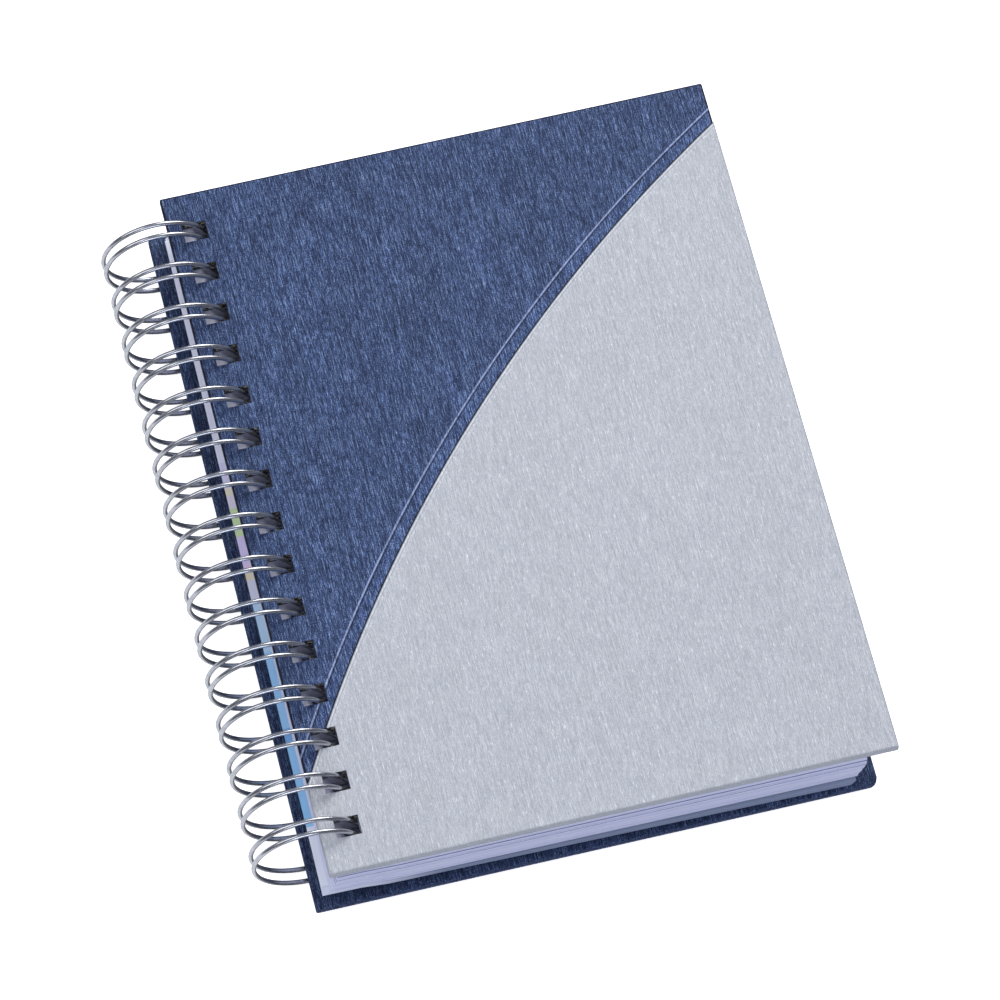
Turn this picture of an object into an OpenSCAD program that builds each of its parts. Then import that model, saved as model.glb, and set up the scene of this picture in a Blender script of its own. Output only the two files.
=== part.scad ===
// A hardcover notebook bound with a twin-loop wire, lying on its back cover.
// The book is drawn with the front cover's lower spine corner at x = 0, y = 0, z = 0:
// +X runs to the fore-edge, +Y to the head, and +Z out of the front cover.
// placed() then stands it with its origin under the middle of its outline.

/* [Covers] */
// Width of a cover, from spine edge to fore-edge
cover_w = 149.5; // [90:0.5:220]
// Height of a cover, from foot to head
cover_h = 201.5; // [150:0.5:300]
// Thickness of the greyboard
board_t = 2.1; // [1.2:0.1:3]
// Thickness of the covering paper
wrap_t = 0.2; // [0.1:0.05:0.4]
// Thickness of the paper that lines the inner face
liner_t = 0.2; // [0.1:0.05:0.4]
// Width of the covering paper folded over onto the inner face
turn_in = 15; // [10:0.5:25]
// Bare margin left round the lining paper
liner_margin = 4; // [2:0.5:8]
// Radius of a cover's corners
corner_r = 1; // [0.5:0.1:4]
// Radius of the back cover's bumped corner, at the foot of the fore-edge
bumped_r = 2.4; // [0.5:0.1:6]

/* [Curved panel] */
// Thickness of the silver paper laid over the blue
silver_t = 0.2; // [0.1:0.05:0.4]
// Radius of the panel's curved edge
panel_r = 453.5; // [250:0.5:900]
// Where the curved edge leaves the fore-edge, below the head
panel_drop = 12.7; // [5:0.1:80]
// Where the curved edge leaves the spine edge, above the foot
panel_spine_y = 25.3; // [5:0.1:60]

/* [Pages] */
// Width of a sheet
page_w = 140; // [80:0.5:210]
// How far the covers stand out past the sheets, at the head and at the foot
page_inset = 2.25; // [0.5:0.05:5]
// Thickness of all the sheets together
block_t = 18; // [10:0.5:28]
// From a sheet's spine edge to its holes
page_margin = 4.4; // [3:0.1:8]
// Width of a hole in a sheet
page_hole_w = 5.7; // [4.5:0.1:7]
// From the wire's middle to the fore-edge side of a sheet's hole
page_pull = 1.5; // [1.1:0.1:2.5]

/* [Holes in the covers] */
// From the front cover's spine edge to its holes
front_margin = 4.1; // [3:0.1:8]
// From the back cover's spine edge to its holes
back_margin = 5.9; // [4:0.1:9]
// Length of a hole along the spine
hole_l = 5.4; // [5:0.1:6.5]
// Room between the wire and the wall of a hole
hole_gap = 0.1; // [0.1:0.05:0.3]

/* [Wire] */
// Diameter of the wire
wire_d = 1.3; // [0.8:0.05:1.4]
// Spacing of the loops
pitch = 12.7; // [10:0.1:16]
// Least height of cover past the middle of the end loops
end_margin = 10; // [8:0.5:20]
// Spacing of the two wires of a loop
twin = 3.5; // [3:0.1:3.7]
// Height of the loops' middle line above the front cover
ring_above = 5; // [3:0.1:8]
// Depth of the loops' middle line below the back cover
ring_below = 1.6; // [1.2:0.1:4]
// Radius of the bend from a loop into the straight wire along the spine
bend_r = 1.2; // [1:0.1:1.6]
// Length of the cut ends, past the last bends
stub_l = 1.5; // [0.5:0.1:3]
// Room between the straight wire and the back cover, and under the sheets
seam_gap = 0.25; // [0.1:0.05:0.5]

/* [Hidden] */

BLUE = [0.24, 0.30, 0.47];
NAVY = [0.13, 0.15, 0.26];
SILVER = [0.75, 0.77, 0.80];
GREYBOARD = [0.62, 0.60, 0.55];
PAPER = [0.90, 0.90, 0.95];
STEEL = [0.78, 0.79, 0.82];

deg = 180 / PI;
// how far a cut runs past the surface it opens
over = 1;
// the tightest corner of a piece set in from the cover's outline
least_r = 0.1;

// heights, measured down from the front cover's outer face
cover_t = wrap_t + board_t + liner_t;
block_top = -cover_t;
block_foot = block_top - block_t;
back_face = block_foot - cover_t;

// the ring that the loops follow; its axis is the hinge of both covers
ring_r = (ring_above - back_face + ring_below) / 2;
ring_z = ring_above - ring_r;
wire_r = wire_d / 2;

// holes just clear the ring: outside it at a cover's inner face, inside it at the outer face
function outside_ring(z) = sqrt(pow(ring_r + wire_r + hole_gap, 2) - pow(z - ring_z, 2));
function inside_ring(z) = sqrt(pow(ring_r - wire_r - hole_gap, 2) - pow(z - ring_z, 2));
hole_w = outside_ring(block_foot) - inside_ring(back_face);
ring_x = front_margin + hole_w - outside_ring(block_top);
back_hole_x = ring_x + inside_ring(back_face);
back_x = back_hole_x - back_margin;
// both covers stand on one plane when the book is put upright
back_y = -silver_t;
// as many loops as the cover's height takes
loops = floor((cover_h - 2 * end_margin) / pitch) + 1;
first_y = (cover_h - (loops - 1) * pitch) / 2;
page_h = cover_h - 2 * page_inset;
page_left = page_pull - page_hole_w - page_margin;

// centre of the panel's curved edge, from the two points it passes through
panel_fore_y = cover_h - panel_drop;
chord = [cover_w, panel_fore_y - panel_spine_y];
chord_mid = [cover_w / 2, (panel_fore_y + panel_spine_y) / 2];
chord_drop = sqrt(pow(panel_r, 2) - pow(norm(chord) / 2, 2));
panel_centre = chord_mid + chord_drop * [chord[1], -chord[0]] / norm(chord);

// the seam of the wire: straight lengths lie between the last sheet and the back cover
// bends are drawn a hair thinner and enter the wire's cut faces by lap
lap = 0.05;
bend_d = wire_d - 0.04;
seam_r = norm([ring_r, bend_r]);
seam_z = block_foot + seam_gap + wire_r;
seam_a = asin((seam_z - ring_z) / seam_r);
start_a = seam_a - atan(bend_r / ring_r);
// a loop's closed end stops tip_gap short of the bends on both sides of it
tip_gap = 0.1;
bend_y = twin / 2 + bend_r;
tip_rise = sqrt(pow(bend_y + wire_d + tip_gap, 2) - pow(bend_y, 2));
tip_a = start_a + tip_rise / ring_r * deg;
straight_l = pitch - twin - 2 * bend_r;
// the last sheets lift over the seam and lie flat again further in
lift = seam_z + wire_r + seam_gap - block_foot;
lift_x = ring_x + seam_r * cos(seam_a) + wire_d;
lift_run = 11;

// the box of the whole book
low = [ring_x - ring_r - wire_r, -silver_t, ring_z - ring_r - wire_r];
high_x = cover_w + silver_t;
high_y = cover_h;

module placed() {
    translate([-(low[0] + high_x) / 2, -(low[1] + high_y) / 2, -low[2]])
        children();
}

// outline of a cover: its corners are rounded, the one at the foot of the fore-edge by its own radius
module outline(w, h, r, fore_r) {
    difference() {
        square([w, h]);
        corner_waste(r);
        translate([w, 0])
            mirror([1, 0])
                corner_waste(fore_r);
        translate([0, h])
            mirror([0, 1])
                corner_waste(r);
        translate([w, h])
            rotate(180)
                corner_waste(r);
    }
}

module corner_waste(r) {
    difference() {
        translate([-over, -over])
            square(r + over);
        translate([r, r])
            circle(r = r, $fn = 32);
    }
}

// a flat piece set in from a cover's outline by inset, between two heights
module plate(inset, z0, z1, fore_r) {
    w = cover_w - 2 * inset;
    h = cover_h - 2 * inset;
    translate([inset, inset, z0])
        linear_extrude(z1 - z0)
            outline(w, h, max(corner_r - inset, least_r), max(fore_r - inset, least_r));
}

// the row of punched holes, through a cover
module punch(x) {
    for (k = [0 : loops - 1])
        translate([x, first_y + k * pitch - hole_l / 2, -over])
            cube([hole_w, hole_l, cover_t + 2 * over]);
}

module front_punch() {
    translate([0, 0, -cover_t])
        punch(front_margin);
}

// a cover lies with its inner face down at z = 0 and its outer face at cover_t
module board(fore_r, rebate) {
    difference() {
        plate(wrap_t, liner_t, cover_t - wrap_t, fore_r);
        // the folded-over paper is pressed into the board's inner face
        difference() {
            plate(-over, liner_t - over, liner_t + rebate, fore_r);
            plate(turn_in, liner_t - 2 * over, liner_t + rebate + over, corner_r);
        }
    }
}

module wrap(fore_r, recess) {
    difference() {
        plate(0, liner_t + recess, cover_t, fore_r);
        plate(wrap_t, liner_t + recess + wrap_t, cover_t - wrap_t, fore_r);
        plate(turn_in, liner_t - over, cover_t - 2 * wrap_t, corner_r);
    }
}

module liner() {
    plate(liner_margin, 0, liner_t, corner_r);
}

// the front cover's parts, in place
module front_board() {
    color(GREYBOARD)
        placed()
            difference() {
                translate([0, 0, -cover_t])
                    board(corner_r, wrap_t + silver_t);
                front_punch();
            }
}

module front_wrap() {
    color(BLUE)
        placed()
            difference() {
                translate([0, 0, -cover_t])
                    wrap(corner_r, silver_t);
                front_punch();
            }
}

module silver_panel() {
    color(SILVER)
        placed()
            difference() {
                intersection() {
                    difference() {
                        plate(-silver_t, liner_t - cover_t, silver_t, corner_r);
                        plate(0, liner_t - cover_t + silver_t, 0, corner_r);
                        plate(turn_in, -cover_t, -silver_t, corner_r);
                    }
                    translate([panel_centre[0], panel_centre[1], -cover_t])
                        cylinder(h = cover_t + over, r = panel_r, $fn = 720);
                }
                front_punch();
            }
}

module front_liner() {
    color(NAVY)
        placed()
            difference() {
                translate([0, 0, -cover_t])
                    liner();
                front_punch();
            }
}

// the back cover's parts: the same cover turned over, moved along the ring to the foot of the stack
module back_cover_place() {
    placed()
        difference() {
            translate([back_x, back_y, block_foot])
                mirror([0, 0, 1])
                    children();
            translate([back_x, back_y, back_face])
                punch(back_margin);
        }
}

module back_board() {
    color(GREYBOARD)
        back_cover_place()
            board(bumped_r, wrap_t);
}

module back_wrap() {
    color(BLUE)
        back_cover_place()
            wrap(bumped_r, 0);
}

module back_liner() {
    color(NAVY)
        back_cover_place()
            liner();
}

// a section drawn in x and z, stretched along the spine
module along_spine(y, len) {
    translate([0, y + len, 0])
        rotate([90, 0, 0])
            linear_extrude(len)
                children();
}

// between two copies of the ring's fore-edge side, moved by a and by b: every sheet hangs on the ring,
// so the stack leans along it
module ring_band(a, b, z0, z1) {
    difference() {
        intersection() {
            translate([ring_x + a, z0])
                square([b - a + ring_r, z1 - z0]);
            union() {
                translate([ring_x + a, z0])
                    square([b - a, z1 - z0]);
                translate([ring_x + b, ring_z])
                    circle(r = ring_r, $fn = 360);
            }
        }
        translate([ring_x + a, ring_z])
            circle(r = ring_r, $fn = 360);
    }
}

module page_block() {
    color(PAPER)
        placed()
            difference() {
                along_spine(page_inset, page_h)
                    ring_band(page_left, page_left + page_w, block_foot, block_top);
                for (k = [0 : loops - 1])
                    along_spine(first_y + k * pitch - hole_l / 2, hole_l)
                        ring_band(page_left + page_margin, page_pull, block_foot - over, block_top + over);
                along_spine(page_inset - over, page_h + 2 * over)
                    polygon([
                        [ring_x, block_foot - over],
                        [ring_x, block_foot + lift],
                        [lift_x, block_foot + lift],
                        [lift_x + lift_run, block_foot],
                        [lift_x + lift_run, block_foot - over]
                    ]);
            }
}

// a place on the ring, with X pointing out of it and Z along it
module at_ring(a) {
    translate([ring_x, 0, ring_z])
        rotate([0, -a, 0])
            translate([ring_r, 0, 0])
                children();
}

module loop_wire(y) {
    translate([ring_x, y, ring_z])
        rotate([90, 0, 0])
            rotate([0, 0, tip_a])
                rotate_extrude(angle = 360 - (tip_a - start_a), $fn = 64)
                    translate([ring_r, 0])
                        circle(d = wire_d, $fn = 16);
}

// the closed end of a loop
module loop_tip() {
    at_ring(tip_a)
        turned_wire(twin / 2, -90, 180);
}

module bend() {
    at_ring(start_a)
        translate([0, bend_y, 0])
            turned_wire(bend_r, 180, 90);
}

module turned_wire(r, from, turn) {
    entry = lap / r * deg;
    rotate([0, 90, 0])
        rotate([0, 0, from - entry])
            rotate_extrude(angle = turn + 2 * entry, $fn = 32)
                translate([r, 0])
                    circle(d = bend_d, $fn = 16);
}

module straight(len) {
    at_ring(start_a)
        translate([0, bend_y, bend_r])
            rotate([-90, 0, 0])
                cylinder(h = len, d = wire_d, $fn = 16);
}

module binding_wire() {
    color(STEEL)
        placed()
            for (k = [0 : loops - 1])
                translate([0, first_y + k * pitch, 0]) {
                    loop_wire(-twin / 2);
                    loop_wire(twin / 2);
                    loop_tip();
                    bend();
                    mirror([0, 1, 0])
                        bend();
                    straight(k < loops - 1 ? straight_l : stub_l);
                    if (k == 0)
                        mirror([0, 1, 0])
                            straight(stub_l);
                }
}

front_board();
front_wrap();
silver_panel();
front_liner();
page_block();
back_board();
back_wrap();
back_liner();
binding_wire();
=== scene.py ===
import math
import random
import bmesh
import bpy
from mathutils import Matrix, Vector


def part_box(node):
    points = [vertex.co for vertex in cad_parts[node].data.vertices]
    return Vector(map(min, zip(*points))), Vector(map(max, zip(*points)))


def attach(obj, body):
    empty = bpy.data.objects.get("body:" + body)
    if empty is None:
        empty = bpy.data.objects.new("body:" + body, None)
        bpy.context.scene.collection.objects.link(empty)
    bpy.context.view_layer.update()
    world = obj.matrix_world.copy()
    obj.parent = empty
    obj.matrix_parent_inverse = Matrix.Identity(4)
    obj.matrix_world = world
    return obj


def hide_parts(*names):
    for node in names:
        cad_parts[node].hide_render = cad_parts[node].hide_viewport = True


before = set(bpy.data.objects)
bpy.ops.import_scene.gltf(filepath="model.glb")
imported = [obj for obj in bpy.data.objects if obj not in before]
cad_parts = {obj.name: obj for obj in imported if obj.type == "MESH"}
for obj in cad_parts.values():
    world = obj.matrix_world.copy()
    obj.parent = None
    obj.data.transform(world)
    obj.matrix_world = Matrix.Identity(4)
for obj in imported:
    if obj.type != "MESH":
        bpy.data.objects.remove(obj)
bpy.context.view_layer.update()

# Greyboards
# Millboard of 2.1 mm, cut to size and punched with the row of holes. Each stays the frame's own
# solid, because only the torn fibre of its hole walls shows between the papers glued over it.
mm = 0.001


def put(tree, kind, inputs=None, **settings):
    """Adds a node; an input may be a value or another node's socket."""
    made = tree.nodes.new(kind)
    for name, value in settings.items():
        setattr(made, name, value)
    for name, value in (inputs or {}).items():
        if isinstance(value, bpy.types.NodeSocket):
            tree.links.new(value, made.inputs[name])
        else:
            made.inputs[name].default_value = value
    return made


def new_finish(name, roughness, metallic=0.0, specular=0.5):
    """A material with its tree and its shader."""
    finish = bpy.data.materials.new(name)
    finish.use_nodes = True
    shader = finish.node_tree.nodes["Principled BSDF"]
    shader.inputs["Roughness"].default_value = roughness
    shader.inputs["Metallic"].default_value = metallic
    shader.inputs["Specular IOR Level"].default_value = specular
    return finish, finish.node_tree, shader


def object_place(tree):
    """Where a point lies on the object."""
    return put(tree, "ShaderNodeTexCoord").outputs["Object"]


def fibres(tree, across, along, detail=3.0, rough=0.55):
    """Noise drawn out along the spine: across and along are the size of one fibre."""
    drawn = put(tree, "ShaderNodeMapping", {
        "Vector": object_place(tree), "Scale": (1 / across, 1 / along, 1 / across)})
    noise = put(tree, "ShaderNodeTexNoise", {
        "Vector": drawn.outputs["Vector"], "Scale": 1.0, "Detail": detail, "Roughness": rough})
    return noise.outputs["Fac"]


def ramp(tree, fac, stops):
    """A colour for each value of fac, from (position, colour) pairs."""
    made = put(tree, "ShaderNodeValToRGB", {"Fac": fac})
    elements = made.color_ramp.elements
    while len(elements) < len(stops):
        elements.new(0.5)
    for element, (position, colour) in zip(elements, stops):
        element.position = position
        element.color = (*colour, 1.0)
    return made.outputs["Color"]


def relief(tree, shader, height, depth):
    """Presses a height pattern into the surface, depth metres deep."""
    bump = put(tree, "ShaderNodeBump", {"Height": height, "Distance": depth, "Strength": 1.0})
    tree.links.new(bump.outputs["Normal"], shader.inputs["Normal"])


def dress(cad_node, finish):
    """Gives a solid of the frame a finish."""
    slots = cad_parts[cad_node].data.materials
    slots.clear()
    slots.append(finish)


greyboard, tree, shader = new_finish("greyboard", roughness=0.95)
board_fibre = fibres(tree, across=1.0 * mm, along=1.0 * mm, detail=5.0, rough=0.65)
tree.links.new(ramp(tree, board_fibre, [
    (0.40, (0.030, 0.026, 0.020)), (0.52, (0.105, 0.095, 0.070)), (0.60, (0.55, 0.53, 0.46))]),
    shader.inputs["Base Color"])
relief(tree, shader, board_fibre, 0.4 * mm)
dress("front_board", greyboard)
dress("back_board", greyboard)

# Blue covering papers
# Brushed metallic paper glued over each board and folded 15 mm round onto its inner face. A thin
# line is pressed into the front one, beside the silver panel, and the holes are punched through.
cover_low, cover_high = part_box("front_wrap")
cover_middle = (cover_low + cover_high) / 2
curve_centre = Vector((cover_low.x + 399.3 * mm, cover_low.y - 189.7 * mm, 0))
curve_radius = 453.5 * mm
curve_from, curve_turn, curve_steps = math.radians(158), math.radians(-40), 80
swept_from, swept_to = 300 * mm, 570 * mm
curve_slack = 0.02 * mm

loop_pitch, loop_count = 12.7 * mm, 15
hole_length, hole_width = 5.4 * mm, 6.47 * mm
front_margin, back_margin = 4.1 * mm, 5.9 * mm
first_loop = cover_middle.y - loop_pitch * (loop_count - 1) / 2

paper_thick = 0.2 * mm
fold_radius = 0.4 * mm
fold_steps = 3
flat_rim = 0.3 * mm
turn_in = 15 * mm
corner_radius, bumped_radius = 0.5 * mm, 2.4 * mm
corner_cuts = 4
touching = 1e-7


def cut(bm, geom, at, outward, clear=False):
    """Cuts faces along a plane, and clears what lies outside it if asked."""
    edges = {edge for face in geom for edge in face.edges}
    verts = {vert for face in geom for vert in face.verts}
    bmesh.ops.bisect_plane(bm, geom=[*geom, *edges, *verts], dist=touching, plane_co=at,
                           plane_no=outward, clear_outer=clear)


def swept_sheet(profile, height):
    """A sheet swept round the centre of the panel's curve, from (radius, rise) pairs."""
    bm = bmesh.new()
    ray = Vector((math.cos(curve_from), math.sin(curve_from), 0))
    line = [bm.verts.new(curve_centre + ray * radius + Vector((0, 0, height + rise)))
            for radius, rise in profile]
    edges = [bm.edges.new(pair) for pair in zip(line, line[1:])]
    bmesh.ops.spin(bm, geom=line + edges, cent=curve_centre, axis=(0, 0, 1), angle=curve_turn,
                   steps=curve_steps)
    bm.normal_update()
    if bm.faces[:][0].normal.z < 0:
        bmesh.ops.reverse_faces(bm, faces=bm.faces[:])
    return bm


def trim(bm, low, high, fore_foot_radius):
    """Trims a sheet to a cover's outline, with its corners rounded."""
    for side_x, side_y in ((-1, -1), (1, -1), (1, 1), (-1, 1)):
        radius = fore_foot_radius if (side_x, side_y) == (1, -1) else corner_radius
        corner = Vector((high.x if side_x > 0 else low.x, high.y if side_y > 0 else low.y, 0))
        centre = corner - Vector((side_x, side_y, 0)) * radius
        for k in range(corner_cuts + 1):
            turn = math.pi / 2 * k / corner_cuts
            outward = Vector((side_x * math.cos(turn), side_y * math.sin(turn), 0))
            cut(bm, bm.faces[:], centre + outward * radius, outward, clear=True)


def on_curve(edge):
    """Whether an edge is part of the panel's curved edge, which isn't folded over."""
    reach = [(vert.co.xy - curve_centre.xy).length for vert in edge.verts]
    return max(abs(radius - curve_radius) for radius in reach) < curve_slack


def grow(bm, edges):
    """Extrudes edges, and gives the points and the edges of the new row."""
    grown = bmesh.ops.extrude_edge_only(bm, edges=edges)["geom"]
    verts = [part for part in grown if isinstance(part, bmesh.types.BMVert)]
    reached = set(verts)
    return verts, [part for part in grown if isinstance(part, bmesh.types.BMEdge)
                   and part.verts[0] in reached and part.verts[1] in reached]


def fold_over(bm, rim, middle, path):
    """Carries the rim of a sheet on along a path of (half width, half height, down) steps."""
    for (from_x, from_y, from_z), (to_x, to_y, to_z) in zip(path, path[1:]):
        verts, rim = grow(bm, rim)
        bmesh.ops.scale(bm, vec=(to_x / from_x, to_y / from_y, 1), verts=verts,
                        space=Matrix.Translation(-middle))
        bmesh.ops.translate(bm, vec=(0, 0, from_z - to_z), verts=verts)


def turned_edge(width, height, drop):
    """The path of a paper round a board's edge: flat, over the edge, down, under and in."""
    half_x, half_y = width / 2 - fold_radius, height / 2 - fold_radius
    over = [(half_x - flat_rim, half_y - flat_rim, 0)]
    for k in range(fold_steps + 1):
        turn = math.pi / 2 * k / fold_steps
        out = fold_radius * math.sin(turn)
        over.append((half_x + out, half_y + out, fold_radius * (1 - math.cos(turn))))
    under = [(x, y, drop - down) for x, y, down in reversed(over)]
    return [*over, *under, (width / 2 - turn_in, height / 2 - turn_in, drop)]


def in_a_hole(face, left, right):
    """Whether a face lies in one of the holes of the row between left and right."""
    at = face.calc_center_median()
    k = min(max(round((at.y - first_loop) / loop_pitch), 0), loop_count - 1)
    return left < at.x < right and abs(at.y - first_loop - k * loop_pitch) < hole_length / 2


def punch(bm, left, width, cut_from=-math.inf):
    """Punches the row of holes, left being their side near the spine, with cuts from cut_from on."""
    right = left + width
    for x in (left, right):
        cut(bm, bm.faces[:], (x, 0, 0), (1, 0, 0))
    for k in range(loop_count):
        for end in (-hole_length / 2, hole_length / 2):
            row = [face for face in bm.faces if cut_from < face.calc_center_median().x < right]
            cut(bm, row, (0, first_loop + k * loop_pitch + end, 0), (0, 1, 0))
    punched = [face for face in bm.faces if in_a_hole(face, left, right)]
    bmesh.ops.delete(bm, geom=punched, context="FACES")


def finished(bm, name, finish, crease=35):
    """Makes a mesh object of bm, smooth but for its creases."""
    mesh = bpy.data.meshes.new(name)
    bm.to_mesh(mesh)
    bm.free()
    mesh.shade_smooth()
    mesh.set_sharp_from_angle(angle=math.radians(crease))
    mesh.materials.append(finish)
    piece = bpy.data.objects.new(name, mesh)
    bpy.context.scene.collection.objects.link(piece)
    return piece


def covered(profile, low, high, fore_foot_radius, holes_at):
    """A paper folded over a board: swept, trimmed, folded round and punched."""
    bm = swept_sheet(profile, high.z)
    inset = Vector((fold_radius + flat_rim, fold_radius + flat_rim, 0))
    trim(bm, low + inset, high - inset, fore_foot_radius)
    rim = [edge for edge in bm.edges if edge.is_boundary and not on_curve(edge)]
    width, height, drop = high - low
    fold_over(bm, rim, (low + high) / 2, turned_edge(width, height, drop))
    punch(bm, holes_at, hole_width)
    bmesh.ops.remove_doubles(bm, verts=bm.verts[:], dist=touching)
    return bm


def thicken(bm):
    """Gives a folded paper its wall, inwards."""
    bmesh.ops.solidify(bm, geom=bm.faces[:], thickness=paper_thick)


def calc(tree, operation, *values):
    """The result of a sum, a product or the like, of values or sockets."""
    return put(tree, "ShaderNodeMath", dict(enumerate(values)), operation=operation).outputs[0]


def product(tree, *factors):
    """The product of several factors."""
    result = factors[0]
    for factor in factors[1:]:
        result = calc(tree, "MULTIPLY", result, factor)
    return result


def level(tree, fac, low, high, at_low, at_high):
    """Maps fac from low..high to at_low..at_high, and holds it there beyond them."""
    mapped = put(tree, "ShaderNodeMapRange", {
        "Value": fac, "From Min": low, "From Max": high, "To Min": at_low, "To Max": at_high})
    return mapped.outputs["Result"]


def coordinate(tree, axis):
    """How far along an axis a point lies."""
    return put(tree, "ShaderNodeSeparateXYZ", {"Vector": object_place(tree)}).outputs[axis]


def off_centre(tree):
    """The distance from the centre of the panel's curve."""
    centre = (curve_centre.x, curve_centre.y, cover_high.z)
    far = put(tree, "ShaderNodeVectorMath", {0: object_place(tree), 1: centre}, operation="DISTANCE")
    return far.outputs["Value"]


def to_rim(tree):
    """The distance in from the front cover's outline."""
    off = put(tree, "ShaderNodeVectorMath", {0: object_place(tree), 1: cover_middle},
              operation="SUBTRACT")
    off = put(tree, "ShaderNodeVectorMath", {0: off.outputs["Vector"]}, operation="ABSOLUTE")
    room = put(tree, "ShaderNodeVectorMath", {0: (cover_high - cover_low) / 2, 1: off.outputs["Vector"]},
               operation="SUBTRACT")
    sides = put(tree, "ShaderNodeSeparateXYZ", {"Vector": room.outputs["Vector"]})
    return calc(tree, "MINIMUM", sides.outputs["X"], sides.outputs["Y"])


def band(tree, reach, middle, half, blur, inside, beside=1.0):
    """A factor with one value in a band at middle and another beside it."""
    off = calc(tree, "ABSOLUTE", calc(tree, "SUBTRACT", reach, middle))
    return level(tree, off, half - blur, half + blur, inside, beside)


def brushed_paper(name, tones, flecks, cloudy, streak_depth):
    """Brushed metallic paper: its finish, tree, shader, colour and a factor for its brightness."""
    finish, tree, shader = new_finish(name, roughness=0.6, specular=0.25)
    streaks = fibres(tree, across=0.21 * mm, along=6.5 * mm, detail=1.0)
    hairs = fibres(tree, across=0.22 * mm, along=1.7 * mm, detail=1.0)
    grain = fibres(tree, across=0.25 * mm, along=0.40 * mm, detail=0.0)
    height = put(tree, "ShaderNodeMix", {"Factor": 0.5, "A": streaks, "B": hairs}).outputs["Result"]
    height = put(tree, "ShaderNodeMix", {"Factor": 0.25, "A": height, "B": grain}).outputs["Result"]
    sparks = fibres(tree, across=0.30 * mm, along=1.9 * mm, detail=1.0)
    sparks = level(tree, sparks, 0.64, 0.70, 1.0, flecks)
    cloud = fibres(tree, across=7 * mm, along=24 * mm)
    cloud = level(tree, cloud, 0.3, 0.7, 1 - cloudy, 1 + cloudy)
    relief(tree, shader, height, streak_depth)
    return finish, tree, shader, ramp(tree, height, tones), product(tree, sparks, cloud)


def tinted(tree, shader, tone, factor=1.0, share=0.0, other=(0, 0, 0)):
    """Paints a tone at the strength of a factor, with a share of another colour."""
    colour = put(tree, "ShaderNodeVectorMath", {0: tone, "Scale": factor}, operation="SCALE")
    colour = put(tree, "ShaderNodeMix", {"Factor": share, "A": colour.outputs["Vector"], "B": other},
                 data_type="VECTOR")
    tree.links.new(colour.outputs["Result"], shader.inputs["Base Color"])


def blue_brushed(name):
    """The blue paper, still without its painted shadows, painted highlights and wear."""
    return brushed_paper(name, [
        (0.36, (0.006, 0.010, 0.030)), (0.45, (0.021, 0.038, 0.098)), (0.53, (0.050, 0.085, 0.196)),
        (0.66, (0.215, 0.305, 0.51))], flecks=1.7, cloudy=0.13, streak_depth=0.03 * mm)


line_radius = 457.4 * mm
line_half, line_depth, line_room = 0.45 * mm, 0.10 * mm, 1.0 * mm
blue_profile = [(swept_from, 0), (curve_radius, 0), (line_radius - line_room, 0),
                (line_radius - line_half, 0), (line_radius - line_half / 3, -line_depth),
                (line_radius + line_half / 3, -line_depth), (line_radius + line_half, 0),
                (line_radius + line_room, 0), (swept_to, 0)]
blue_paper, tree, shader, tone, factor = blue_brushed("blue_paper")
reach = off_centre(tree)
line_shadow = band(tree, reach, line_radius - 0.52 * mm, half=0.20 * mm, blur=0.12 * mm, inside=0.32)
strip_middle = (curve_radius + line_radius) / 2
strip_sheen = band(tree, reach, strip_middle, half=1.6 * mm, blur=0.15 * mm, inside=1.22)
panel_shadow = band(tree, reach, curve_radius, half=0.36 * mm, blur=0.10 * mm, inside=0.12)
room = to_rim(tree)
bend_at, bend_blur = 0.6 * mm, 0.16 * mm
bend_shadow = level(tree, room, bend_at - bend_blur, bend_at, 0.15, 1.0)
# Lighter flecks along the fold, 0.6 mm in from the outline: wear, and a painted highlight on the bend.
worn_highlight_flecks = level(tree, fibres(tree, across=0.7 * mm, along=0.7 * mm), 0.45, 0.62, 1.0, 1.4)
bend_wear_and_highlight = band(tree, room, bend_at, half=0.12 * mm, blur=0.08 * mm, inside=worn_highlight_flecks)
factor = product(tree, factor, line_shadow, strip_sheen, panel_shadow, bend_shadow, bend_wear_and_highlight)
crushed = level(tree, fibres(tree, across=0.25 * mm, along=5.0 * mm), 0.38, 0.54, 0.30, 1.0)
crushed = band(tree, reach, line_radius, half=0.17 * mm, blur=0.16 * mm, inside=crushed, beside=0.0)
tinted(tree, shader, tone, factor, crushed, (0.46, 0.54, 0.82))
front_wrap = covered(blue_profile, cover_low, cover_high, corner_radius, cover_low.x + front_margin)
thicken(front_wrap)
front_paper = finished(front_wrap, "front_blue_paper", blue_paper)
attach(front_paper, "front_cover")
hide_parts("front_wrap")

back_low, back_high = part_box("back_wrap")
plain_profile = [(swept_from, 0), (swept_to, 0)]
back_wrap = covered(plain_profile, back_low, back_high, bumped_radius, back_low.x + back_margin)
bmesh.ops.scale(back_wrap, vec=(1, 1, -1), verts=back_wrap.verts[:],
                space=Matrix.Translation((0, 0, -(back_low.z + back_high.z) / 2)))
bmesh.ops.reverse_faces(back_wrap, faces=back_wrap.faces[:])
thicken(back_wrap)
back_blue, tree, shader, tone, factor = blue_brushed("back_blue")
height = coordinate(tree, "Z")
shaded_by_front = 0.7
rim_shadow = band(tree, height, back_low.z + 0.22 * mm, half=0.12 * mm, blur=0.06 * mm, inside=0.25)
# A lighter, flecked line just above the bottom fold: wear, and a painted highlight on the rim.
rim_wear_and_highlight = level(tree, fibres(tree, across=0.7 * mm, along=0.7 * mm), 0.46, 0.58, 0.0, 0.9)
rim_wear_and_highlight = band(tree, height, back_low.z + 0.62 * mm, half=0.24 * mm, blur=0.08 * mm, inside=rim_wear_and_highlight,
            beside=0.0)
factor = product(tree, factor, rim_shadow, shaded_by_front)
tinted(tree, shader, tone, factor, rim_wear_and_highlight, (0.33, 0.31, 0.50))
back_paper = finished(back_wrap, "back_blue_paper", back_blue)
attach(back_paper, "back_cover")
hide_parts("back_wrap")

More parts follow.
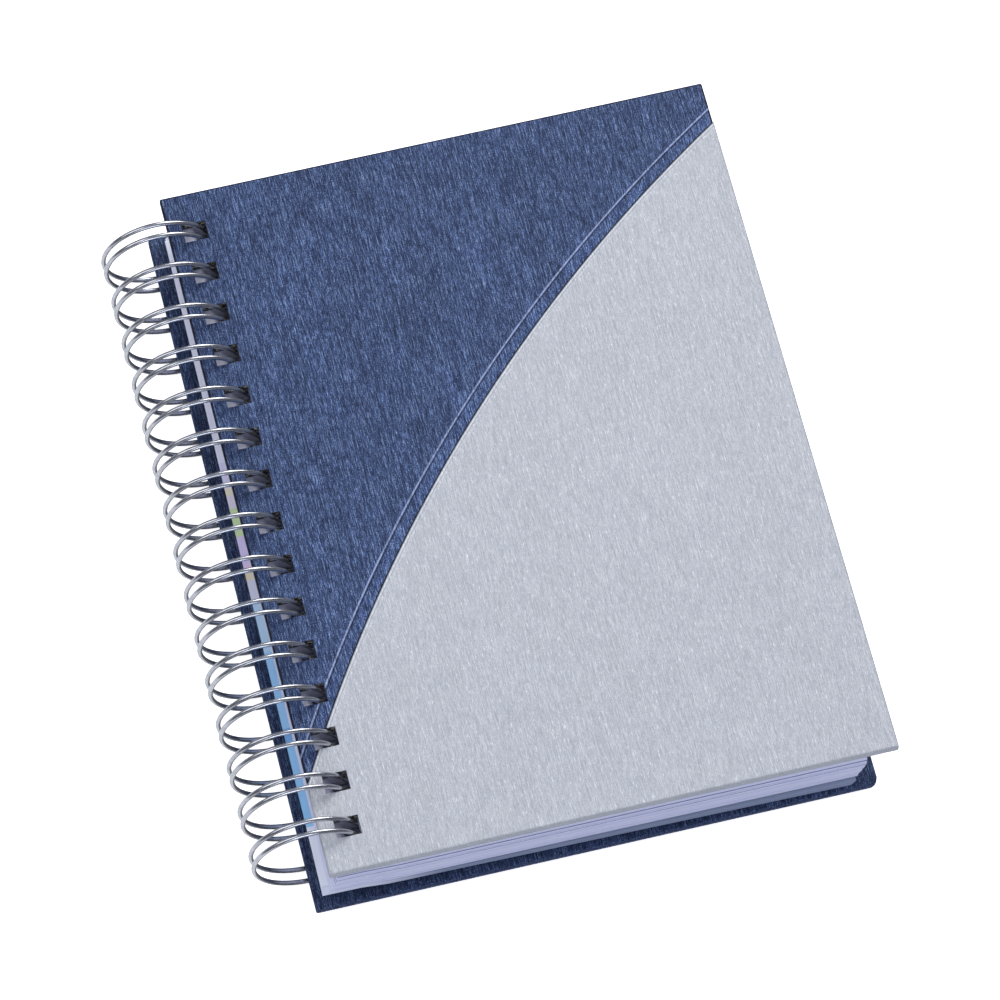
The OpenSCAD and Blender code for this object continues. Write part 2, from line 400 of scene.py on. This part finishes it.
# Silver panel
# A second brushed paper, cut to a long curve, glued over the blue and folded round the same edges.
# It rises a hair just short of its cut edge, which is pressed down on the blue.
silver_paper, tree, shader, tone, factor = brushed_paper("silver_paper", [
    (0.36, (0.42, 0.435, 0.46)), (0.50, (0.54, 0.56, 0.585)), (0.66, (0.71, 0.72, 0.73))],
    flecks=1.32, cloudy=0.02, streak_depth=0.02 * mm)
reach = off_centre(tree)
# Painted highlight: a pale, flecked band on the lip's rise, 1.25 mm in from the cut edge.
highlight_dots = level(tree, fibres(tree, across=0.5 * mm, along=0.7 * mm), 0.42, 0.62, 0.98, 1.22)
lip_highlight = band(tree, reach, curve_radius - 1.25 * mm, half=0.28 * mm, blur=0.12 * mm, inside=highlight_dots)
# Painted shade: a thin darker line across the lip's top, like the shade in a groove.
groove_shade = band(tree, reach, curve_radius - 0.80 * mm, half=0.10 * mm, blur=0.08 * mm, inside=0.78)
glint = band(tree, reach, curve_radius - 0.45 * mm, half=0.18 * mm, blur=0.08 * mm, inside=1.25)
# Painted shade: the silver is darker right at its cut edge, where it meets the blue.
cut_edge_shade = band(tree, reach, curve_radius, half=0.16 * mm, blur=0.08 * mm, inside=0.45)
# Painted shade: the silver is darker within 0.4 mm of the cover's outline, round its folded edges.
fold_shade = level(tree, to_rim(tree), 0.0, 0.4 * mm, 0.80, 1.0)
tinted(tree, shader, tone, product(tree, factor, lip_highlight, groove_shade, glint, cut_edge_shade, fold_shade))
panel_low, panel_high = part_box("silver_panel")
panel_high.y = cover_high.y + paper_thick
lip, lip_from, lip_top, lip_down = 0.06 * mm, 1.6 * mm, 1.0 * mm, 0.3 * mm
silver_profile = [(swept_from, 0), (curve_radius - lip_from, 0), (curve_radius - lip_top, lip),
                  (curve_radius - lip_down, lip), (curve_radius, 0)]
panel = covered(silver_profile, panel_low, panel_high, corner_radius, cover_low.x + front_margin)
thicken(panel)
silver_sheet = finished(panel, "silver_sheet", silver_paper)
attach(silver_sheet, "front_cover")
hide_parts("silver_panel")

# Lining papers
# A plain dark paper glued inside each cover, over the turned-in edges of the blue. Both stay the
# frame's own solids.
lining_paper, tree, shader = new_finish("lining_paper", roughness=0.8)
lining_grain = fibres(tree, across=0.4 * mm, along=0.4 * mm, detail=4.0)
tree.links.new(ramp(tree, lining_grain, [(0.35, (0.012, 0.016, 0.045)), (0.65, (0.028, 0.036, 0.085))]),
               shader.inputs["Base Color"])
relief(tree, shader, lining_grain, 0.02 * mm)
dress("front_liner", lining_paper)
dress("back_liner", lining_paper)

# Pages
# 180 sheets of white paper, punched and hung on the ring one by one, so the stack leans along it.
# The lower ones lift over the wire's seam at the spine. A few near the bottom are shorter and
# printed. Darker sheets, set back a little, are painted shade lines between groups of sheets.
pages_low, pages_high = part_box("page_block")
wire_low, wire_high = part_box("binding_wire")
wire_radius = 0.65 * mm
ring = Vector(((wire_low.x + wire_high.x) / 2, 0, (wire_low.z + wire_high.z) / 2))
ring_radius = (wire_high.z - wire_low.z) / 2 - wire_radius
sheet_count = 180
sheet_width = 140 * mm
sheet_thick = 0.085 * mm
sheet_margin, sheet_hole = 4.4 * mm, 5.7 * mm
sheet_left = -8.6 * mm
seam_lift, lift_end, lift_run = 1.8 * mm, 9.3 * mm, 11 * mm
bend_from = cover_low.x + lift_end - ring.x - ring_radius - sheet_left
bends = (bend_from, bend_from + lift_run)


def leaf(foot_trim=0, head_trim=0, slant=0):
    """A punched sheet, its spine edge at x = 0, its ends trimmed, its foot out of square by slant."""
    bm = bmesh.new()
    foot, head = pages_low.y + foot_trim, pages_high.y - head_trim
    bmesh.ops.create_grid(bm, x_segments=1, y_segments=1, size=0.5)
    bmesh.ops.scale(bm, vec=(sheet_width, head - foot, 1), verts=bm.verts[:])
    bmesh.ops.translate(bm, vec=(sheet_width / 2, (foot + head) / 2, 0), verts=bm.verts[:])
    if slant:
        cut(bm, bm.faces[:], (0, foot, 0), (math.sin(slant), -math.cos(slant), 0), clear=True)
    for x in bends:
        cut(bm, bm.faces[:], (x, 0, 0), (1, 0, 0))
    punch(bm, sheet_margin, sheet_hole, cut_from=sheet_margin)
    bmesh.ops.solidify(bm, geom=bm.faces[:], thickness=sheet_thick)
    mesh = bpy.data.meshes.new("leaf")
    bm.to_mesh(mesh)
    bm.free()
    return mesh


plain_leaf = leaf(slant=math.radians(0.4))
short_leaf, square_leaf = leaf(foot_trim=2.1 * mm, head_trim=1.5 * mm), leaf()
sheet_skew = math.radians(-0.55)
skew_pivot = Vector((ring.x + 41 * mm, cover_middle.y - 8 * mm, 0))
squared_from, squared_left = 0.6, cover_low.x + 0.95 * mm
printed_from, last_from = 160, 166
printed_pull, last_pull = -0.9 * mm, 0.6 * mm
fan_turn, fan_pivot = math.radians(-0.1), Vector((cover_low.x, cover_low.y, 0))
# Painted shade: these sheets, set back a little and painted dark, stand for shade lines in the stack.
shade_line_indices, set_back = [50, 51, *range(69, 73), 96, 97, 112, 113], 0.08 * mm
scatter_x, scatter_y = 0.06 * mm, 0.09 * mm
plain_kind, printed_kind, last_kind, shade_line_kind = range(4)

random.seed(7)
stack = bmesh.new()
block_thick = pages_high.z - pages_low.z
for i in range(sheet_count):
    first = len(stack.verts)
    printed, last = printed_from <= i < last_from, i >= last_from
    sheet_mesh = short_leaf if printed else square_leaf if last else plain_leaf
    stack.from_mesh(sheet_mesh)
    stack.verts.ensure_lookup_table()
    share = (i + 0.5) / sheet_count
    z = pages_high.z - share * block_thick
    hang = ring.x + math.sqrt(ring_radius ** 2 - (z - ring.z) ** 2) + sheet_left
    if printed:
        hang += printed_pull
    elif last:
        hang += last_pull
    elif share > squared_from:
        hang = max(hang, squared_left)
    shove = Vector((random.gauss(0, scatter_x), random.gauss(0, scatter_y), 0))
    if i in shade_line_indices:
        shove.y += set_back
    sheet = stack.verts[first:]
    for vert in sheet:
        x = hang + vert.co.x
        lift = seam_lift * min(1, max(0, 1 - (x - cover_low.x - lift_end) / lift_run))
        z = pages_high.z - share * (block_thick - lift) + vert.co.z
        vert.co = Vector((x, vert.co.y, z)) + shove
    bmesh.ops.rotate(stack, cent=skew_pivot, matrix=Matrix.Rotation(sheet_skew, 3, "Z"), verts=sheet)
    if last:
        fanned = fan_turn * (i - last_from) / (sheet_count - last_from)
        bmesh.ops.rotate(stack, cent=fan_pivot, matrix=Matrix.Rotation(fanned, 3, "Z"), verts=sheet)
    kind = (printed_kind if printed else last_kind if last
            else shade_line_kind if i in shade_line_indices else plain_kind)
    for face in stack.faces[-len(sheet_mesh.polygons):]:
        face.material_index = kind


def page_finish(name, dim, pale):
    """Uncoated paper, a little uneven from sheet to sheet."""
    finish, tree, shader = new_finish(name, roughness=0.85, specular=0.2)
    uneven = mm / 3
    layers = put(tree, "ShaderNodeMapping", {"Vector": object_place(tree), "Scale": (1, 1, 1 / uneven)})
    sheets = put(tree, "ShaderNodeTexNoise", {
        "Vector": layers.outputs["Vector"], "Scale": 1.0, "Detail": 2.0})
    return finish, tree, shader, ramp(tree, sheets.outputs["Fac"], [(0.3, dim), (0.65, pale)])


page_paper, tree, shader, tone = page_finish("page_paper", (0.72, 0.73, 0.90), (0.86, 0.87, 0.97))
tree.links.new(tone, shader.inputs["Base Color"])
last_sheets, tree, shader, tone = page_finish("last_sheets", (0.80, 0.82, 0.95), (0.90, 0.92, 1.0))
# Painted shade: the lowest sheets turn grey towards the fore-edge, from grey_from to grey_to.
grey_from, grey_to = cover_low.x + 12 * mm, cover_low.x + 30 * mm
grey = level(tree, coordinate(tree, "X"), grey_from, grey_to, 0.0, 1.0)
tinted(tree, shader, tone, share=grey, other=(0.37, 0.43, 0.56))
# Painted shade: the dark paper of the sheets that stand for shade lines in the stack.
shade_line_sheets, tree, shader, tone = page_finish(
    "shade_line_sheets", (0.15, 0.19, 0.40), (0.24, 0.29, 0.54))
tree.links.new(tone, shader.inputs["Base Color"])

printed_sheets, tree, shader = new_finish("printed_sheets", roughness=0.7, specular=0.2)
up_page = level(tree, coordinate(tree, "Y"), pages_low.y, pages_high.y, 0.0, 1.0)
fields = ramp(tree, up_page, [
    (0.00, (0.92, 0.95, 1.00)), (0.095, (0.38, 0.70, 0.97)), (0.22, (0.26, 0.52, 0.84)),
    (0.24, (0.42, 0.72, 0.98)), (0.354, (0.60, 0.82, 0.97)), (0.428, (0.84, 0.84, 0.94)),
    (0.462, (0.93, 0.84, 0.60)), (0.475, (0.95, 0.76, 0.90)), (0.485, (0.86, 0.76, 1.00)),
    (0.531, (0.76, 0.92, 0.50)), (0.572, (0.90, 0.84, 0.90)), (0.590, (0.95, 0.90, 0.68)),
    (0.605, (0.86, 0.82, 1.00)), (0.641, (0.92, 0.93, 1.00))])
fields.node.color_ramp.interpolation = "CONSTANT"
tree.links.new(fields, shader.inputs["Base Color"])
pages = finished(stack, "pages", page_paper)
for finish in (printed_sheets, last_sheets, shade_line_sheets):
    pages.data.materials.append(finish)
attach(pages, "book_block")
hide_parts("page_block")

# Binding wire
# One length of bright steel wire of 1.3 mm, bent into 15 pairs of loops. Each pair is pushed through
# the holes and closed on the seam under the sheets, where straight lengths join it to the next.
twin = 3.5 * mm
bend_radius = 1.2 * mm
stub = 1.5 * mm
seam_gap, tip_gap = 0.25 * mm, 0.1 * mm
wire_sides, loop_steps, bend_steps, tip_steps = 20, 100, 6, 10
seam_height = pages_low.z + seam_gap + wire_radius - ring.z
seam_angle = math.asin(seam_height / math.hypot(ring_radius, bend_radius))
start_angle = seam_angle - math.atan(bend_radius / ring_radius)
bend_off = twin / 2 + bend_radius
tip_rise = math.sqrt((bend_off + 2 * wire_radius + tip_gap) ** 2 - bend_off ** 2)
tip_angle = start_angle + tip_rise / ring_radius
loop_turn = 2 * math.pi - (tip_angle - start_angle)
half_link = loop_pitch / 2 - bend_off


def on_ring(angle):
    """A point on the ring, and the outward direction there."""
    out = Vector((math.cos(angle), 0, math.sin(angle)))
    return ring + out * ring_radius, out


def run_on(front, length):
    """Draws the wire on, straight along the spine."""
    verts, edges = grow(pair, [part for part in front if isinstance(part, bmesh.types.BMEdge)])
    bmesh.ops.translate(pair, vec=(0, length, 0), verts=verts)
    return verts + edges


def turn_on(front, centre, axis, angle, steps):
    """Draws the wire on, round an axis."""
    drawn = bmesh.ops.spin(pair, geom=front, cent=centre, axis=axis, angle=angle, steps=steps)
    return drawn["geom_last"]


along_spine = Vector((0, 1, 0))
start_at, start_out = on_ring(start_angle)
tip_at, tip_out = on_ring(tip_angle)
foot_bend = start_at + along_spine * (first_loop - bend_off)
head_bend = start_at + along_spine * (first_loop + bend_off)
tangent = Vector((-math.sin(start_angle), 0, math.cos(start_angle)))
upright = Matrix((start_out, tangent, along_spine)).transposed().to_4x4()
end_at = start_at + along_spine * (first_loop - loop_pitch / 2) + tangent * bend_radius

pair = bmesh.new()
section = bmesh.ops.create_circle(pair, radius=wire_radius, segments=wire_sides,
                                  matrix=Matrix.Translation(end_at) @ upright)
front = run_on(section["verts"] + pair.edges[:], half_link)
front = turn_on(front, foot_bend, start_out, -math.pi / 2, bend_steps)
front = turn_on(front, ring, along_spine, loop_turn, loop_steps)
front = turn_on(front, tip_at + along_spine * first_loop, tip_out, math.pi, tip_steps)
front = turn_on(front, ring, along_spine, -loop_turn, loop_steps)
front = turn_on(front, head_bend, start_out, -math.pi / 2, bend_steps)
run_on(front, half_link)
pair_mesh = bpy.data.meshes.new("pair")
pair.to_mesh(pair_mesh)
pair.free()

wire = bmesh.new()
for _ in range(loop_count):
    wire.from_mesh(pair_mesh)
    pair_mesh.transform(Matrix.Translation(along_spine * loop_pitch))
wire_half = loop_pitch * (loop_count - 1) / 2 + bend_off + stub
for side in (-1, 1):
    end = along_spine * (cover_middle.y + side * wire_half)
    cut(wire, wire.faces[:], end, along_spine * side, clear=True)
bmesh.ops.remove_doubles(wire, verts=wire.verts[:], dist=touching)
bmesh.ops.holes_fill(wire, edges=[edge for edge in wire.edges if edge.is_boundary], sides=0)
bmesh.ops.recalc_face_normals(wire, faces=wire.faces[:])

steel, tree, shader = new_finish("steel", roughness=0.24, metallic=1.0)
drawn = fibres(tree, across=1.5 * mm, along=1.5 * mm, detail=3.0)
tree.links.new(ramp(tree, drawn, [(0.35, (0.56, 0.575, 0.62)), (0.65, (0.68, 0.695, 0.73))]),
               shader.inputs["Base Color"])
relief(tree, shader, drawn, 0.002 * mm)
binding = finished(wire, "binding", steel, crease=60)
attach(binding, "book_block")
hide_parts("binding_wire")

# Studio
# A pale floor and a weak bluish sky, with a broad lamp beyond the head and the fore-edge, a bluish
# one beyond the foot and one beside the spine. A grey tent, which only reflections see, darkens the
# wire between them.
bpy.context.scene.view_settings.view_transform = "Standard"
floor_half = 6.0
floor_bm = bmesh.new()
bmesh.ops.create_grid(floor_bm, x_segments=1, y_segments=1, size=floor_half)
floor_finish, tree, shader = new_finish("floor", roughness=0.9)
shader.inputs["Base Color"].default_value = (0.8, 0.8, 0.82, 1)
rays = put(tree, "ShaderNodeLightPath").outputs
white = put(tree, "ShaderNodeEmission", {"Color": (1, 1, 1, 1), "Strength": 0.85})
lit = put(tree, "ShaderNodeAddShader", {0: shader.outputs[0], 1: white.outputs[0]})
pale = put(tree, "ShaderNodeMixShader", {
    0: rays["Is Camera Ray"], 1: shader.outputs[0], 2: lit.outputs[0]})
mirrored = calc(tree, "MAXIMUM", rays["Is Glossy Ray"], rays["Is Transmission Ray"])
# Painted shade: reflections see the floor glow less beneath the book, from shade_from to shade_to.
shade_from, shade_to = -82 * mm, -76 * mm
glow = level(tree, coordinate(tree, "X"), shade_from, shade_to, 0.9, 0.15)
shaded = put(tree, "ShaderNodeEmission", {"Color": (0.93, 0.95, 1, 1), "Strength": glow})
pale = put(tree, "ShaderNodeMixShader", {0: mirrored, 1: pale.outputs[0], 2: shaded.outputs[0]})
tree.links.new(pale.outputs[0], tree.nodes["Material Output"].inputs["Surface"])
floor = finished(floor_bm, "floor", floor_finish)

world = bpy.data.worlds.new("studio")
bpy.context.scene.world = world
world.use_nodes = True
tree = world.node_tree
rays = put(tree, "ShaderNodeLightPath").outputs
seen = calc(tree, "MAXIMUM", rays["Is Camera Ray"], rays["Is Glossy Ray"])
seen = calc(tree, "MAXIMUM", seen, rays["Is Transmission Ray"])
sky = tree.nodes["Background"]
sky.inputs["Color"].default_value = (0.80, 0.84, 1.0, 1)
sky.inputs["Strength"].default_value = 0.5
backdrop = put(tree, "ShaderNodeBackground", {"Color": (1, 1, 1, 1), "Strength": 1.0})
view = put(tree, "ShaderNodeMixShader", {0: seen, 1: sky.outputs[0], 2: backdrop.outputs[0]})
tree.links.new(view.outputs[0], tree.nodes["World Output"].inputs["Surface"])

tent_radius, tent_height, tent_gap, table_radius = 1.6, 2.4, 0.2 * mm, 0.25
tent_bm = bmesh.new()
bmesh.ops.create_cone(tent_bm, cap_ends=True, segments=64, radius1=tent_radius, radius2=tent_radius,
                      depth=tent_height, matrix=Matrix.Translation((0, 0, tent_height / 2 + tent_gap)))
bottom = min(tent_bm.faces, key=lambda face: face.calc_center_median().z)
bmesh.ops.inset_region(tent_bm, faces=[bottom], thickness=tent_radius - table_radius)
table = min(tent_bm.faces, key=lambda face: face.calc_center_median().length)
bmesh.ops.delete(tent_bm, geom=[table], context="FACES")
tent_finish, tree, shader = new_finish("tent", roughness=0.9)
tent_share = level(tree, coordinate(tree, "Z"), 0, tent_height, 0, 1)
tree.links.new(ramp(tree, tent_share, [(0.88, (0.20, 0.205, 0.215)), (0.99, (0.60, 0.61, 0.62))]),
               shader.inputs["Base Color"])
tent = finished(tent_bm, "tent", tent_finish)
tent.visible_camera = tent.visible_diffuse = tent.visible_shadow = tent.visible_transmission = False


def softbox(name, place, size, power, colour):
    """A square soft lamp that faces the book."""
    lamp = bpy.data.lights.new(name, "AREA")
    lamp.shape = "SQUARE"
    lamp.size = size
    lamp.energy = power
    lamp.color = colour
    stand = bpy.data.objects.new(name, lamp)
    stand.location = place
    stand.rotation_euler = (-Vector(place)).to_track_quat("-Z", "Y").to_euler()
    bpy.context.scene.collection.objects.link(stand)


softbox("key", (0.65, 0.85, 1.0), size=1.0, power=11.8, colour=(1.0, 1.0, 1.0))
softbox("fill", (-0.15, -1.1, 0.38), size=0.6, power=3.0, colour=(0.80, 0.86, 1.0))
softbox("side", (-0.75, 0.15, 0.85), size=0.8, power=3.0, colour=(0.97, 0.98, 1.0))

# The photograph's view, solved from the cover's corners, the holes and the loops
lens = bpy.data.cameras.new("camera")
lens.sensor_width = 36.0
lens.lens = 240.459
camera = bpy.data.objects.new("camera", lens)
camera.location = (-0.1760027, -0.75992496, 1.5874382)
camera.rotation_euler = [math.radians(turn) for turn in (26.31775961, 0.22455842, -13.73813907)]
bpy.context.scene.collection.objects.link(camera)
bpy.context.scene.camera = camera
